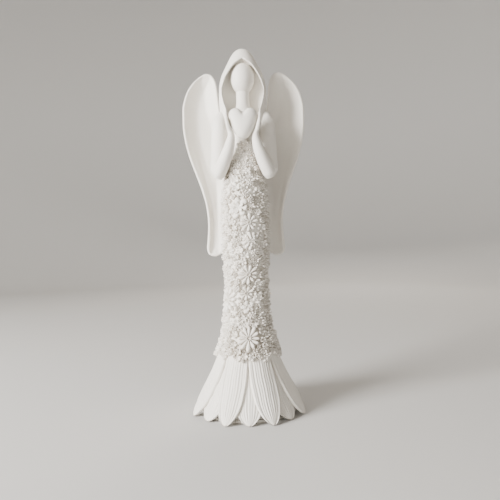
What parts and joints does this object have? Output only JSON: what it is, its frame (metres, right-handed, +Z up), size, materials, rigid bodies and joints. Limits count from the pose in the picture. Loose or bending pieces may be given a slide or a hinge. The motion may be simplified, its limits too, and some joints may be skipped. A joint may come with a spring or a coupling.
{
  "type": "resin angel figurine",
  "caption": "Slender white resin angel with a hooded veil, spoon-shaped wings, a heart held in both hands and a dress covered in flowers above a petal hem.",
  "frame": {"origin": "centre of the flat base, on the plane that it stands on", "axes": "+Z up through the figure, -Y the way the face and heart look, +X towards the figure's left wing"},
  "size_m": [0.07, 0.0598, 0.2],
  "materials": {
    "white_resin": "matte cast polyresin, warm white, slightly chalky, unpainted"
  },
  "bodies": {
    "root": {"base_plate": "white_resin", "dress_core": "white_resin", "outer_petal_1": "white_resin", "outer_petal_2": "white_resin", "outer_petal_3": "white_resin", "outer_petal_4": "white_resin", "outer_petal_5": "white_resin", "outer_petal_6": "white_resin", "outer_petal_7": "white_resin", "outer_petal_8": "white_resin", "inner_petal_1": "white_resin", "inner_petal_2": "white_resin", "inner_petal_3": "white_resin", "inner_petal_4": "white_resin", "inner_petal_5": "white_resin", "inner_petal_6": "white_resin", "inner_petal_7": "white_resin", "inner_petal_8": "white_resin", "bodice": "white_resin", "neck": "white_resin", "head": "white_resin", "heart": "white_resin", "upper_arm_left": "white_resin", "forearm_left": "white_resin", "hand_left": "white_resin", "upper_arm_right": "white_resin", "forearm_right": "white_resin", "hand_right": "white_resin", "veil": "white_resin", "wing_left": "white_resin", "wing_right": "white_resin", "daisy_hem": "white_resin", "daisy_side": "white_resin", "daisy_middle": "white_resin", "daisy_upper": "white_resin", "fan_blossom": "white_resin", "dahlia": "white_resin", "daisy_small": "white_resin", "rose_cup": "white_resin", "rose_small": "white_resin", "blossom_band_1": "white_resin", "blossom_band_2": "white_resin", "blossom_band_3": "white_resin", "blossom_band_4": "white_resin", "blossom_band_5": "white_resin", "blossom_band_6": "white_resin", "blossom_band_7": "white_resin", "blossom_band_8": "white_resin", "blossom_band_9": "white_resin", "blossom_band_10": "white_resin"}
  },
  "joints": []
}
